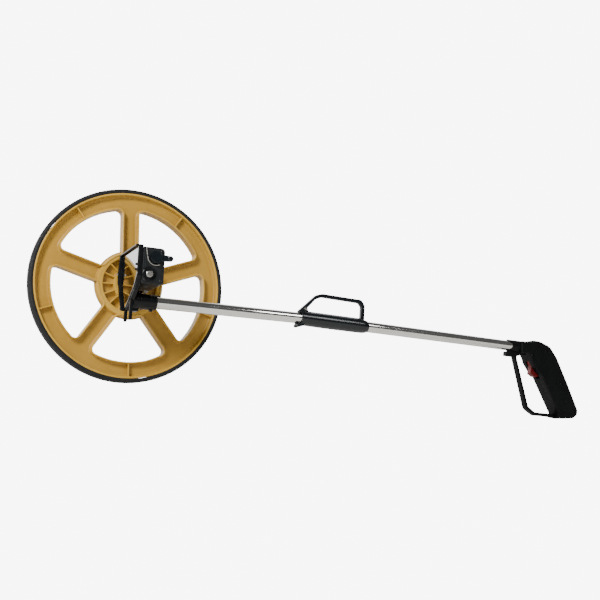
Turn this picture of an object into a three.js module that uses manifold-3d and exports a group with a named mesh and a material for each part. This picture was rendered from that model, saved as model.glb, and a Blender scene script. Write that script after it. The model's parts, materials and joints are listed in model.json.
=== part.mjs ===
// Measuring wheel: a one-metre wheel on a cantilevered axle, a counter head with a face plate,
// a two-part tube with a fold joint and carry loop, and a pistol grip with a brake trigger.
// Millimetres, +Z up. The origin is the wheel's centre, +Y runs along the axle away from the
// counter, and +X runs along the tube towards the grip.

import * as THREE from 'three';
import { mergeVertices } from 'three/addons/utils/BufferGeometryUtils.js';
import Module from 'manifold-3d';

const wasm = await Module();
wasm.setup();

// ---- driving dimensions ---------------------------------------------------------------------
const GAP = 0.3;                       // clearance between touching pieces
const DEG = Math.PI / 180;

const TREAD_R = 1000 / (2 * Math.PI);  // one metre of ground per turn
const RIM_R = 151.9;
const RIM_HALF = 10.5;                 // half of the rim's width
const LIP_W = 3.2;                     // outer lip of the rim
const WEB_HALF = 2;
const SPOKES = 5;
const SPOKE_W = 27.6;
const FIRST_SPOKE = 93;                // degrees from +X towards +Z
const SECTOR_R = 125.5;                // outer radius of the openings between the spokes
const SECTOR_FILLET = 8;
const CREST_W = 2.4;                   // raised edge around each opening
const HUB_R = 52;
const HUB_RIB_R = [27, 44.5];
const HUB_RIBS = 16;
const HUB_HALF = 9.5;
const BOSS_HALF = 12;
const BUSH_R = 8;

const AXLE_R = 4;
const AXLE_Y = [-112, 24];

const HEAD_Y = [-118, -19];            // near and far sides of the head
const PLATE_X = -19;                   // front face of the polished plate
const FRAME_X = [-17.4, -11];
const CASE_X = [-10.7, 23];
const CASE_Z = [-14, 42];
const CASE_WALL = 2.2;
const CASE_BACK_Y = -29.5;             // far face of the counter case
const COVER_T = 3;

const COUNTER = [8, 26];               // x and z of the drum shaft
const GEAR_TEETH = 20;                 // drive gear and counter gear
const IDLER_TEETH = 12;
const GEAR_MODULE = Math.hypot(...COUNTER) / (GEAR_TEETH + IDLER_TEETH);
const GEAR_Y = [-27.6, -23.6];
const QUILL_R = 6.2;                   // sleeve of the drive gear, around the axle
const QUILL_BORE_R = AXLE_R + 0.4;
const BUSH_STOP = 2;
const BUSH_PLAY = 0.2;
const RIM_RIB_W = 2;
const HUB_RIB_W = 1.8;
const FIRST_HUB_RIB = 182;
const SHAFT_R = 2.5;
const IDLER_PIN_R = 1.6;
const LEVER_R = 9.5;                   // disc of the reset lever
const DRUMS = 5;
const DRUM_R = 11.5;
const DRUM_W = 13;
const DRUM_PITCH = 14;
const DRUM_FIRST_Y = -43;

const TUBE_Y = -67;
const TUBE_Z = -34.5;
const TUBE_R = 9.5;
const TUBE_BORE = 8.3;
const SOCKET_R = 12.1;
const SOCKET_END = 28;
const LOWER_START = -6;

const PIN = [276, TUBE_Z - 13.1];      // fold hinge, x and z
const PIN_R = 1.5;
const KNUCKLE_R = 3.2;
const FOLD_PLAY = 1.37;                // degrees that the upper tube hangs at rest
const SLEEVE_X = [273, 413];
const SLEEVE_R = 12.3;
const SLEEVE_BORE = 9.8;
const LOOP_HALF = 3;                   // half of the carry loop's width
const LOCK = [287.4, -18.6];           // lock button, x and z

const CRANK = [3, -30];                // brake pivot, x and y
const UPPER_START = 290;
const UPPER_END = 775;
const GRIP_HALF = 15;
const GUARD_HALF = 5;
const TRIGGER_PIN = [798, -27.5];
const TRIGGER_HALF = 4.6;
const GRIP_SCREWS = [[782.5, -49], [818, -38.5], [857, -99], [889, -152.5]];
const CABLE_R = 0.9;

// ---- geometry helpers -----------------------------------------------------------------------
const X_FROM_Y = new THREE.Matrix4().set(0, 1, 0, 0, 0, 0, 1, 0, 1, 0, 0, 0, 0, 0, 0, 1);
const X_FROM_Z = new THREE.Matrix4().set(0, 0, 1, 0, 1, 0, 0, 0, 0, 1, 0, 0, 0, 0, 0, 1);

function signedVolume(position, index) {
  const a = new THREE.Vector3(), b = new THREE.Vector3(), c = new THREE.Vector3();
  let sum = 0;
  for (let i = 0; i < index.length; i += 3) {
    a.fromBufferAttribute(position, index[i]);
    b.fromBufferAttribute(position, index[i + 1]);
    c.fromBufferAttribute(position, index[i + 2]);
    sum += a.dot(b.cross(c)) / 6;
  }
  return sum;
}

function solid(geometry) {
  const bare = geometry.clone();
  bare.deleteAttribute('normal');
  bare.deleteAttribute('uv');
  const merged = mergeVertices(bare, 1e-4);
  const index = Array.from(merged.index.array);
  const faces = [];
  for (let i = 0; i < index.length; i += 3) {
    const [p, q, r] = index.slice(i, i + 3);
    if (p !== q && q !== r && r !== p) faces.push(p, q, r);
  }
  if (signedVolume(merged.attributes.position, faces) < 0) faces.reverse();
  return new wasm.Manifold(new wasm.Mesh({
    numProp: 3,
    vertProperties: new Float32Array(merged.attributes.position.array),
    triVerts: new Uint32Array(faces),
  }));
}

function geometryOf(body) {
  const mesh = body.getMesh();
  const geometry = new THREE.BufferGeometry();
  geometry.setAttribute('position', new THREE.BufferAttribute(mesh.vertProperties, 3));
  geometry.setIndex(new THREE.BufferAttribute(mesh.triVerts, 1));
  geometry.computeVertexNormals();
  return geometry;
}

const join = (...bodies) => bodies.reduce((sum, body) => sum.add(body));
const cut = (body, ...tools) => tools.reduce((rest, tool) => rest.subtract(tool), body);

function box([x0, x1], [y0, y1], [z0, z1]) {
  const geometry = new THREE.BoxGeometry(x1 - x0, y1 - y0, z1 - z0);
  geometry.translate((x0 + x1) / 2, (y0 + y1) / 2, (z0 + z1) / 2);
  return solid(geometry);
}

// Cylinders along each axis: a radius, the two ends, and the place of the centre line.
function cylinderY(r, [y0, y1], x = 0, z = 0, sides = 24) {
  const geometry = new THREE.CylinderGeometry(r, r, y1 - y0, sides);
  geometry.translate(x, (y0 + y1) / 2, z);
  return solid(geometry);
}

function cylinderX(r, [x0, x1], y, z, sides = 24) {
  const geometry = new THREE.CylinderGeometry(r, r, x1 - x0, sides);
  geometry.applyMatrix4(X_FROM_Y);
  geometry.translate((x0 + x1) / 2, y, z);
  return solid(geometry);
}

function cylinderZ(r, [z0, z1], x, y, sides = 16) {
  const geometry = new THREE.CylinderGeometry(r, r, z1 - z0, sides);
  geometry.rotateX(Math.PI / 2);
  geometry.translate(x, y, (z0 + z1) / 2);
  return solid(geometry);
}

// A closed profile of [radius, y] points, turned about the wheel's axle.
function revolveY(profile, segments) {
  const points = profile.concat([profile[0]]).map(([r, y]) => new THREE.Vector2(r, y));
  return solid(new THREE.LatheGeometry(points, segments, Math.PI / segments));
}

// A closed profile of [radius, x] points, turned about the tube's centre line.
function revolveTube(profile, segments) {
  const points = profile.concat([profile[0]]).map(([r, x]) => new THREE.Vector2(r, x));
  const geometry = new THREE.LatheGeometry(points, segments);
  geometry.applyMatrix4(X_FROM_Y);
  geometry.translate(0, TUBE_Y, TUBE_Z);
  return solid(geometry);
}

// A shape whose outline runs anticlockwise, as ExtrudeGeometry expects where there are holes.
function toShape(points, holes = []) {
  const path = (list) => list.map(([a, b]) => new THREE.Vector2(a, b));
  const outline = path(points);
  if (THREE.ShapeUtils.isClockWise(outline)) outline.reverse();
  const shape = new THREE.Shape(outline);
  shape.holes = holes.map((hole) => new THREE.Path(path(hole)));
  return shape;
}

// Outlines drawn in x and z, extruded along y. A bevel rounds both faces' edges.
function slabXZ(points, [y0, y1], { holes = [], bevel = 0, steps = 2 } = {}) {
  const geometry = new THREE.ExtrudeGeometry(toShape(points, holes), {
    depth: y1 - y0 - 2 * bevel,
    bevelEnabled: bevel > 0,
    bevelThickness: bevel,
    bevelSize: bevel,
    bevelOffset: -bevel,
    bevelSegments: steps,
  });
  geometry.rotateX(Math.PI / 2);
  geometry.translate(0, y1 - bevel, 0);
  return solid(geometry);
}

// Outlines drawn in y and z, extruded along x.
function slabYZ(points, [x0, x1]) {
  const geometry = new THREE.ExtrudeGeometry(toShape(points), { depth: x1 - x0, bevelEnabled: false });
  geometry.applyMatrix4(X_FROM_Z);
  geometry.translate(x0, 0, 0);
  return solid(geometry);
}

// Outlines drawn in x and y, extruded along z.
function slabXY(points, [z0, z1]) {
  const geometry = new THREE.ExtrudeGeometry(toShape(points), { depth: z1 - z0, bevelEnabled: false });
  geometry.translate(0, 0, z0);
  return solid(geometry);
}

// A round bar along a smooth curve through the given points.
function wire(points, r, steps, sides = 8) {
  const curve = new THREE.CatmullRomCurve3(points.map((p) => new THREE.Vector3(...p)));
  const section = [];
  for (let i = 0; i < sides; i += 1) {
    const a = (i / sides) * 2 * Math.PI;
    section.push([r * Math.cos(a), r * Math.sin(a)]);
  }
  return solid(new THREE.ExtrudeGeometry(toShape(section), { steps, extrudePath: curve }));
}

function arc(cx, cz, r, from, to, steps) {
  const points = [];
  for (let i = 0; i <= steps; i += 1) {
    const a = (from + ((to - from) * i) / steps) * DEG;
    points.push([cx + r * Math.cos(a), cz + r * Math.sin(a)]);
  }
  return points;
}

// Corners as [a, b, radius]: each corner with a radius is rounded off by an arc.
function rounded(corners, steps = 3) {
  const points = [];
  corners.forEach(([a, b, r = 0], i) => {
    if (r === 0) {
      points.push([a, b]);
      return;
    }
    const here = new THREE.Vector2(a, b);
    const count = corners.length;
    const [pa, pb] = corners[(i + count - 1) % count];
    const [na, nb] = corners[(i + 1) % count];
    const back = new THREE.Vector2(pa, pb).sub(here).normalize();
    const ahead = new THREE.Vector2(na, nb).sub(here).normalize();
    const half = Math.acos(THREE.MathUtils.clamp(back.dot(ahead), -1, 1)) / 2;
    const middle = back.clone().add(ahead).normalize();
    const centre = middle.multiplyScalar(r / Math.sin(half)).add(here);
    const start = back.clone().multiplyScalar(r / Math.tan(half)).add(here).sub(centre);
    const end = ahead.clone().multiplyScalar(r / Math.tan(half)).add(here).sub(centre);
    const turn = Math.atan2(start.cross(end), start.dot(end));
    for (let k = 0; k <= steps; k += 1) {
      const p = start.clone().rotateAround(new THREE.Vector2(), (turn * k) / steps).add(centre);
      points.push([p.x, p.y]);
    }
  });
  return points;
}

// ---- materials ------------------------------------------------------------------------------
const finish = (color, roughness, metalness = 0) =>
  () => new THREE.MeshStandardMaterial({ color, roughness, metalness });
const ochre = finish(0xc79a4a, 0.5);
const rubber = finish(0x1d1e20, 0.85);
const black = finish(0x17191b, 0.45);
const gloss = finish(0x0f1519, 0.25);
const charcoal = finish(0x2b2e31, 0.55);
const chrome = finish(0xd8d8d4, 0.12, 1);
const steel = finish(0xb4b4b0, 0.3, 1);
const nylon = finish(0xe6e2d6, 0.5);
const red = finish(0xb3271e, 0.4);
const glass = () => new THREE.MeshStandardMaterial({ color: 0xe8f0f2, transparent: true, opacity: 0.35 });

const wheelGroup = new THREE.Group();
const upper = new THREE.Group();
const object = new THREE.Group();

function piece(name, body, material, group = object) {
  const mesh = new THREE.Mesh(geometryOf(body), material());
  mesh.name = name;
  group.add(mesh);
}

// ---- wheel ----------------------------------------------------------------------------------
// The opening between spoke k and the next one. A negative inset gives a larger outline.
function sectorOutline(k, inset) {
  const a0 = FIRST_SPOKE + (360 / SPOKES) * k;
  const a1 = a0 + 360 / SPOKES;
  const outer = SECTOR_R - inset;
  const inner = HUB_R + inset;
  const h = SPOKE_W / 2 + inset;
  const f = SECTOR_FILLET - inset;
  const swingOut = Math.asin((h + f) / (outer - f)) / DEG;
  const swingIn = Math.asin((h + f) / (inner + f)) / DEG;
  const at = (r, a) => [r * Math.cos(a * DEG), r * Math.sin(a * DEG)];
  return [
    ...arc(...at(outer - f, a0 + swingOut), f, a0 - 90, a0 + swingOut, 3),
    ...arc(0, 0, outer, a0 + swingOut, a1 - swingOut, 6).slice(1, -1),
    ...arc(...at(outer - f, a1 - swingOut), f, a1 - swingOut, a1 + 90, 3),
    ...arc(...at(inner + f, a1 - swingIn), f, a1 + 90, a1 - swingIn + 180, 2),
    ...arc(0, 0, inner, a1 - swingIn, a0 + swingIn, 3).slice(1, -1),
    ...arc(...at(inner + f, a0 + swingIn), f, a0 + swingIn + 180, a0 + 270, 2),
  ];
}

function radialRib(angle, [r0, r1], thickness, half) {
  return box([r0, r1], [-half, half], [-thickness / 2, thickness / 2]).rotate([0, -angle, 0]);
}

function wheelDisc() {
  const sectors = Array.from({ length: SPOKES }, (_, k) => sectorOutline(k, 0));
  const webEdge = arc(0, 0, RIM_R - 1, 3, 357, 59);
  let body = slabXZ(webEdge, [-WEB_HALF, WEB_HALF], { holes: sectors });
  const band = (r0, r1, half) =>
    revolveY([[r0, -half], [r1, -half], [r1, half], [r0, half]], 60);
  body = join(body, band(RIM_R - LIP_W, RIM_R, RIM_HALF), band(HUB_RIB_R[1], HUB_R + 1, HUB_HALF));
  for (let k = 0; k < SPOKES; k += 1) {
    const crest = slabXZ(sectorOutline(k, -CREST_W), [-RIM_HALF, RIM_HALF], { holes: [sectors[k]] });
    const middle = FIRST_SPOKE + (360 / SPOKES) * (k + 0.5);
    body = join(body, crest, radialRib(middle, [SECTOR_R + 1, RIM_R - 1], RIM_RIB_W, RIM_HALF - 1.5));
  }
  for (let k = 0; k < HUB_RIBS; k += 1) {
    const angle = FIRST_HUB_RIB + (360 / HUB_RIBS) * k;
    body = join(body, radialRib(angle, [HUB_RIB_R[0] - 1, HUB_RIB_R[1] + 1], HUB_RIB_W, HUB_HALF - 0.7));
  }
  body = join(body, cylinderY(HUB_RIB_R[0], [-BOSS_HALF, BOSS_HALF], 0, 0, 36));
  return cut(
    body,
    cylinderY(AXLE_R + 1, [-BOSS_HALF - 1, BOSS_HALF + 1], 0, 0, 24),
    cylinderY(BUSH_R + GAP, [BUSH_STOP, BOSS_HALF + 1], 0, 0, 24),
    cylinderY(BUSH_R + GAP, [-BOSS_HALF - 1, -BUSH_STOP], 0, 0, 24),
  );
}

function tyre() {
  const inner = RIM_R + GAP;
  return revolveY([
    [inner, -10], [inner + 1.6, -11], [inner + 4.4, -11.1], [TREAD_R - 0.9, -9.6], [TREAD_R, -7.4],
    [TREAD_R, 7.4], [TREAD_R - 0.9, 9.6], [inner + 4.4, 11.1], [inner + 1.6, 11], [inner, 10],
  ], 60);
}

// A straight-sided spur gear with a tooth centred at the given angle, and backlash for free running.
function gear(teeth, [x, z], toothAngle, bore) {
  const pitchR = (GEAR_MODULE * teeth) / 2;
  const tip = pitchR + 0.72 * GEAR_MODULE;
  const root = pitchR - 0.95 * GEAR_MODULE;
  const tipHalf = (0.24 * GEAR_MODULE) / tip / DEG;
  const rootHalf = (0.98 * GEAR_MODULE) / root / DEG;
  const points = [];
  for (let k = 0; k < teeth; k += 1) {
    const a = toothAngle + (360 / teeth) * k;
    points.push(arc(x, z, root, a - rootHalf, a, 1)[0]);
    points.push(...arc(x, z, tip, a - tipHalf, a + tipHalf, 1));
    points.push(arc(x, z, root, a + rootHalf, a, 1)[0]);
  }
  return cut(slabXZ(points, GEAR_Y), cylinderY(bore, [GEAR_Y[0] - 1, GEAR_Y[1] + 1], x, z, 20));
}

const ring = ([y0, y1], outer, inner, x = 0, z = 0, sides = 24) =>
  cut(cylinderY(outer, [y0, y1], x, z, sides), cylinderY(inner, [y0 - 1, y1 + 1], x, z, sides));
const meshAngle = Math.atan2(COUNTER[1], COUNTER[0]) / DEG;
const idlerAt = COUNTER.map((v) => v / 2);

piece('wheel_disc', wheelDisc(), ochre, wheelGroup);
piece('tyre', tyre(), rubber, wheelGroup);
piece('hub_bush_far', join(
  ring([BUSH_STOP + GAP, 12.8], BUSH_R, AXLE_R + BUSH_PLAY),
  ring([12.3, 13.6], 10.5, AXLE_R + BUSH_PLAY),
), nylon, wheelGroup);
piece('hub_bush_near', ring([-BOSS_HALF, -BUSH_STOP - GAP], BUSH_R, AXLE_R + BUSH_PLAY), nylon, wheelGroup);
// The drive gear stands on a sleeve, with a flange against the wheel's boss.
piece('drive_gear', join(
  ring([-14.6, -BOSS_HALF - GAP], 17, QUILL_BORE_R),
  ring([GEAR_Y[1] - 0.5, -14], QUILL_R, QUILL_BORE_R),
  gear(GEAR_TEETH, [0, 0], meshAngle, QUILL_BORE_R),
), black, wheelGroup);

// ---- axle -----------------------------------------------------------------------------------
const hexagon = (x, z, r) => arc(x, z, r, 0, 300, 5);
piece('axle', cut(
  join(cylinderY(AXLE_R, AXLE_Y, 0, 0, 24), cylinderY(6.5, [-35, CASE_BACK_Y - CASE_WALL - GAP], 0, 0, 24)),
  cylinderY(2.6, [-113, -98], 0, 0, 16),
), steel);
piece('axle_washer', ring([14, 15.4], 9.5, AXLE_R + GAP), steel);
piece('axle_nut', cut(slabXZ(hexagon(0, 0, 7.4), [15.7, 21.5]), cylinderY(AXLE_R + GAP, [15, 22], 0, 0, 24)),
  steel);
piece('axle_bolt', join(
  slabXZ(hexagon(0, 0, 4.7), [-125, -121]),
  cylinderY(5, [-121.2, -120.6], 0, 0, 24),
  cylinderY(2.3, [-121.2, -100], 0, 0, 16),
), steel);

// ---- head: frame, polished plate and its fixings --------------------------------------------
// The plate's outline in y and z: a shield that runs down to a narrow foot.
const shield = [
  [-24.5, 41], [-24.5, -1], [-35, -24], [-49, -46.5], [-59, -46.5],
  [-81, -33], [-102, -19], [-117.4, 0], [-117.4, 41],
];

function headFrame() {
  const slab = slabYZ([
    [HEAD_Y[1], 44.5], [HEAD_Y[1], -4], [-31, -27], [-46.5, -50], [-61, -50],
    [-82, -37.5], [-104, -23], [HEAD_Y[0], -5], [HEAD_Y[0], 44.5],
  ], FRAME_X);
  const topLip = box([-22.6, FRAME_X[1]], HEAD_Y, [41.4, 44.5]);
  // The far flange stands proud of the plate and bulges at mid-height.
  const flangeSide = rounded([
    [FRAME_X[1], 44.5], [-23, 44.5, 2], [-24.3, 12, 16], [-23.4, -6, 6], [FRAME_X[1], -12],
  ], 3);
  const flange = slabXZ(flangeSide, [-24.2, HEAD_Y[1]]);
  const wedge = slabYZ([[-24.2, -1], [-19, -4], [-31, -27], [-46.5, -50], [-48.7, -46.7], [-34.7, -24]],
    [-22.6, FRAME_X[1]]);
  const prong = (y) => slabXZ(rounded([
    [FRAME_X[0], -34], [FRAME_X[0], -67, 2], [FRAME_X[0] + 4.8, -67, 2], [FRAME_X[0] + 4.8, -34],
  ]), [y - 2.6, y + 2.6]);
  return join(slab, topLip, flange, wedge, prong(-52), prong(-82));
}

piece('head_frame', headFrame(), black);
piece('face_plate', slabYZ(shield, [PLATE_X, FRAME_X[0] - GAP]), chrome);
[14, 6].forEach((z, i) => {
  piece(`plate_stud_${i + 1}`, cylinderX(2, [-21.2, PLATE_X - GAP], -114.5, z, 12), black);
});
piece('flange_pin', cylinderX(1.7, [-26.1, -24.5], -21.6, 12, 12), steel);

// ---- counter --------------------------------------------------------------------------------
const caseOutline = (inset) => rounded([
  [CASE_X[0] + inset, CASE_Z[0] + inset, 1.5], [CASE_X[1] - inset, CASE_Z[0] + inset, 4 - inset],
  [CASE_X[1] - inset, CASE_Z[1] - inset, 6 - inset], [CASE_X[0] + inset, CASE_Z[1] - inset, 1.5],
]);
const coverY = [HEAD_Y[0], HEAD_Y[0] + COVER_T];
const drumY = (k) => {
  const far = DRUM_FIRST_Y - DRUM_PITCH * k;
  return [far - DRUM_W, far];
};
const windowY = [drumY(DRUMS - 1)[0] + 1, DRUM_FIRST_Y - 1];
const windowZ = [COUNTER[1] - 7.5, COUNTER[1] + 7.5];

piece('counter_case', cut(
  slabXZ(caseOutline(0), [coverY[1] + GAP, CASE_BACK_Y]),
  slabXZ(caseOutline(CASE_WALL), [coverY[1], CASE_BACK_Y - CASE_WALL]),
  cylinderY(AXLE_R + GAP, [-40, -20], 0, 0, 24),
  cylinderY(4.6 + GAP, [-40, -20], ...COUNTER, 16),
  cylinderY(IDLER_PIN_R + GAP, [-40, -20], ...idlerAt, 12),
  box([CASE_X[1] - 5, CASE_X[1] + 1], windowY, windowZ),
), charcoal);
// The gear cover closes the gear train in, between the case and the wheel.
piece('gear_cover', cut(
  slabXZ(caseOutline(0), [CASE_BACK_Y + GAP, HEAD_Y[1]]),
  slabXZ(caseOutline(1.2), [CASE_BACK_Y, HEAD_Y[1] - 1.8]),
  cylinderY(QUILL_R + 0.8, [-30, -10], 0, 0, 24),
), charcoal);
piece('counter_cover', cut(
  join(
    slabXZ(caseOutline(0), coverY),
    cylinderY(9, [-120.3, -117], 0, 0, 32),
    cylinderY(6, [-119.2, -117], ...COUNTER, 24),
  ),
  cylinderY(2.6, [-122, -110], 0, 0, 16),
  cylinderY(SHAFT_R + GAP, [-122, -110], ...COUNTER, 16),
), charcoal);
piece('counter_window', box(
  [CASE_X[1] - CASE_WALL, CASE_X[1] - 0.5],
  [windowY[0] + GAP, windowY[1] - GAP],
  [windowZ[0] + GAP, windowZ[1] - GAP],
), glass);
piece('drum_shaft', cylinderY(SHAFT_R, [-119.8, -22.6], ...COUNTER, 16), steel);
piece('idler_pin', cylinderY(IDLER_PIN_R, [CASE_BACK_Y - CASE_WALL - 1, -22.6], ...idlerAt, 12), steel);
for (let k = 0; k < DRUMS; k += 1) {
  piece(`digit_drum_${k + 1}`, ring(drumY(k), DRUM_R, SHAFT_R + GAP, ...COUNTER), nylon);
}
// The idler has a gap on both sides of the line of centres, and the counter gear has a tooth there.
piece('idler_gear', gear(IDLER_TEETH, idlerAt, meshAngle + 180 / IDLER_TEETH, IDLER_PIN_R + GAP), nylon);
piece('counter_gear', join(
  gear(GEAR_TEETH, COUNTER, meshAngle + 180, SHAFT_R + GAP),
  ring([DRUM_FIRST_Y + GAP, GEAR_Y[0] + 0.5], 4.6, SHAFT_R + GAP, ...COUNTER, 16),
), nylon);

// The reset lever turns on the shaft's near end, and a wire spring lies around its disc.
function resetLever() {
  const [x, z] = COUNTER;
  const arm = slabXZ(rounded([
    [x, z - 6], [x + 21, z - 4.4, 2.5], [x + 21, z + 4.4, 2.5], [x, z + 6],
  ]), [-125.5, -121.5]);
  return join(
    cylinderY(LEVER_R, [-127, -120.1], x, z, 36),
    arm,
    cylinderY(4.4, [-127.5, -121], x + 21.5, z, 20),
  );
}
piece('reset_lever', resetLever(), gloss);
const springPath = [[-6.8, 41], [-6, 35], [-4.6, 28.5], [-2.6, 21.5], [1.5, 16.6], [8, 14.6], [15, 16]];
piece('reset_spring', wire(springPath.map(([x, z]) => [x, -119.4, z]), 0.8, 18, 6), steel);
[[-6.5, -9.5], [18, -9], [18, 36.5]].forEach(([x, z], i) => {
  piece(`cover_screw_${i + 1}`, cylinderY(2.2, [-119.6, HEAD_Y[0] - GAP], x, z, 12), steel);
});

// ---- tube socket and brake ------------------------------------------------------------------
piece('tube_socket', cut(
  join(
    revolveTube([[0, -10.7], [SOCKET_R, -10.7], [SOCKET_R, 26], [SOCKET_R - 1, SOCKET_END], [0, SOCKET_END]], 32),
    cylinderX(15.2, [-10.7, -7.5], TUBE_Y, TUBE_Z, 32),
    box([-10.7, -1], [TUBE_Y - 7, TUBE_Y + 7], [TUBE_Z - 17, TUBE_Z - 8]),
  ),
  cylinderX(TUBE_R + GAP, [LOWER_START - GAP, 40], TUBE_Y, TUBE_Z, 32),
  box([5, 15], [TUBE_Y - 2, TUBE_Y + 2], [TUBE_Z, TUBE_Z + 14]),
  cylinderZ(1.8, [TUBE_Z - 14, TUBE_Z], 20, TUBE_Y, 12),
), black);
piece('socket_screw', join(
  cylinderZ(3, [TUBE_Z - 14.6, TUBE_Z - 12.5], 20, TUBE_Y, 16),
  cylinderZ(1.5, [TUBE_Z - 13, TUBE_Z - 9.9], 20, TUBE_Y, 12),
), steel);

// A flat bell crank under the case: the cable pulls one leg, the other presses the pad on the hub.
const crankOutline = rounded([
  [-3, -24.5, 3], [8, -24.5, 1], [39, -18, 1], [51, -18, 1], [51, -21, 1], [40, -23, 1], [10, -31, 3],
  [7.5, -40, 2], [13.5, -64, 2], [13.5, -70, 2], [6.5, -70, 2], [6.5, -62, 2], [0, -38, 2], [-3, -33, 3],
], 2);
piece('brake_crank', cut(
  slabXY(crankOutline, [-20.5, -17.5]),
  cylinderZ(1.8, [-25, -10], ...CRANK, 16),
  cylinderZ(1.6, [-25, -10], 10, TUBE_Y, 16),
), steel);
piece('brake_pivot', join(
  cylinderZ(1.5, [-23, CASE_Z[0] - GAP], ...CRANK, 12),
  cylinderZ(3.4, [-17.2, CASE_Z[0] - GAP], ...CRANK, 16),
  cylinderZ(3.4, [-22.6, -20.8], ...CRANK, 16),
), steel);
piece('brake_pad', box([43, 50], [-17.7, -12.6], [-24, -14.5]), rubber);
piece('brake_cable_lower', wire([
  [10, TUBE_Y, -16.5], [10, TUBE_Y, -24], [10.6, TUBE_Y, -31], [15, TUBE_Y, TUBE_Z],
  [40, TUBE_Y, TUBE_Z], [258, TUBE_Y, TUBE_Z],
], CABLE_R, 24, 6), steel);

// ---- lower tube and fold hinge --------------------------------------------------------------
const [PX, PZ] = PIN;
const tubePipe = (x0, x1) =>
  revolveTube([[TUBE_BORE, x0], [TUBE_R, x0], [TUBE_R, x1], [TUBE_BORE, x1]], 32);
// The tube's end is cut at a slant, so that it swings clear of the sleeve's bore.
const endCut = slabXZ([
  [PX + 3, TUBE_Z + TUBE_R], [PX + 3, TUBE_Z + 20], [PX + 60, TUBE_Z + 20], [PX + 60, TUBE_Z - 20],
  [PX + 10, TUBE_Z - 20], [PX + 9.6, TUBE_Z - TUBE_R],
], [TUBE_Y - 15, TUBE_Y + 15]);
piece('lower_tube', cut(
  tubePipe(LOWER_START, PX + 20),
  endCut,
  box([PX - 3.8, PX + 30], [TUBE_Y - 3.8, TUBE_Y + 3.8], [TUBE_Z - 12, TUBE_Z]),
  box([5.5, 14.5], [TUBE_Y - 1.8, TUBE_Y + 1.8], [TUBE_Z, TUBE_Z + 12]),
), chrome);
piece('hinge_plug', cut(
  join(
    cylinderX(TUBE_BORE - GAP, [PX - 14, PX + 1.5], TUBE_Y, TUBE_Z, 32),
    cylinderX(5.5, [PX, PX + 12], TUBE_Y, TUBE_Z, 24),
    slabXZ([...arc(PX, PZ, KNUCKLE_R, 180, 360, 8), [PX + KNUCKLE_R, PZ + 7], [PX - KNUCKLE_R, PZ + 7]],
      [TUBE_Y - 3.4, TUBE_Y + 3.4]),
  ),
  cylinderY(PIN_R + 0.2, [TUBE_Y - 10, TUBE_Y + 10], PX, PZ, 20),
  cylinderX(CABLE_R + 0.8, [PX - 20, PX + 20], TUBE_Y, TUBE_Z, 12),
), black);
piece('hinge_pin', cylinderY(PIN_R, [TUBE_Y - 8.6, TUBE_Y + 8.6], PX, PZ, 20), steel);

// ---- upper section, drawn in line with the lower tube and then let down by the fold's play ---
function carrySleeve() {
  const [x0, x1] = SLEEVE_X;
  const barrel = revolveTube([
    [0, x0], [SLEEVE_R, x0], [SLEEVE_R, x0 + 20], [SLEEVE_R + 0.4, x0 + 70], [SLEEVE_R, x1 - 12],
    [SLEEVE_R - 1.2, x1 - 4], [SLEEVE_R - 3, x1], [0, x1],
  ], 36);
  const loopOuter = rounded([
    [x0 + 2, TUBE_Z + 11], [308.5, 9, 8], [320, 12.6, 14], [398.5, 12, 9], [406, 3, 6],
    [406, TUBE_Z + 8], [300, TUBE_Z + 6],
  ], 4);
  const loopInner = rounded([
    [291.6, -16, 2.5], [305.6, 2, 6], [319, 8, 8], [394, 7.6, 5], [400.2, 1.5, 5], [399.8, -21.2, 1],
    [295, -21.4, 2],
  ], 3);
  const loop = slabXZ(loopOuter, [TUBE_Y - LOOP_HALF, TUBE_Y + LOOP_HALF],
    { holes: [loopInner], bevel: 1.4, steps: 1 });
  const ear = (side) => slabXZ([
    ...arc(PX, PZ, KNUCKLE_R, 100, 280, 8), [PX + 12, PZ + 1], [PX + 12, PZ + KNUCKLE_R],
  ], side > 0 ? [TUBE_Y + 3.8, TUBE_Y + 8] : [TUBE_Y - 8, TUBE_Y - 3.8]);
  // The mouth is hollowed in side view, and its lower lip gives way to the two hinge ears.
  const mouth = cylinderY(17.2, [TUBE_Y - 20, TUBE_Y + 20], x0 - 8.4, TUBE_Z, 40);
  const hollow = cylinderX(SLEEVE_BORE, [x0 - 5, x1 + 5], TUBE_Y, TUBE_Z, 36);
  const underLip = box([x0 - 5, PX + 4.4], [TUBE_Y - 9.6, TUBE_Y + 9.6], [PZ - 10, TUBE_Z - 3]);
  const lugRoom = box([x0 - 5, PX + 12], [TUBE_Y - 3.8, TUBE_Y + 3.8], [PZ - 10, TUBE_Z - 3]);
  const shell = cut(join(barrel, loop), mouth, hollow, underLip);
  return cut(
    join(shell, ear(1), ear(-1)),
    lugRoom,
    cylinderY(PIN_R + 0.2, [TUBE_Y - 10, TUBE_Y + 10], PX, PZ, 20),
    cylinderY(2.6 + GAP, [TUBE_Y - 10, TUBE_Y + 10], ...LOCK, 16),
    cylinderZ(1.6, [TUBE_Z, TUBE_Z + 20], 352, TUBE_Y, 12),
  );
}
piece('carry_sleeve', carrySleeve(), gloss, upper);
piece('lock_button', cylinderY(2.6, [TUBE_Y - 8.8, TUBE_Y + 5.5], ...LOCK, 16), steel, upper);
piece('sleeve_screw', cylinderZ(1.3, [TUBE_Z + TUBE_R + GAP, TUBE_Z + 13.6], 352, TUBE_Y, 12), steel, upper);
piece('upper_tube', tubePipe(UPPER_START, UPPER_END), chrome, upper);
piece('brake_cable_upper', wire([
  [294, TUBE_Y, TUBE_Z], [500, TUBE_Y, TUBE_Z], [793.6, TUBE_Y, TUBE_Z],
], CABLE_R, 8, 6), steel, upper);

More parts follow.
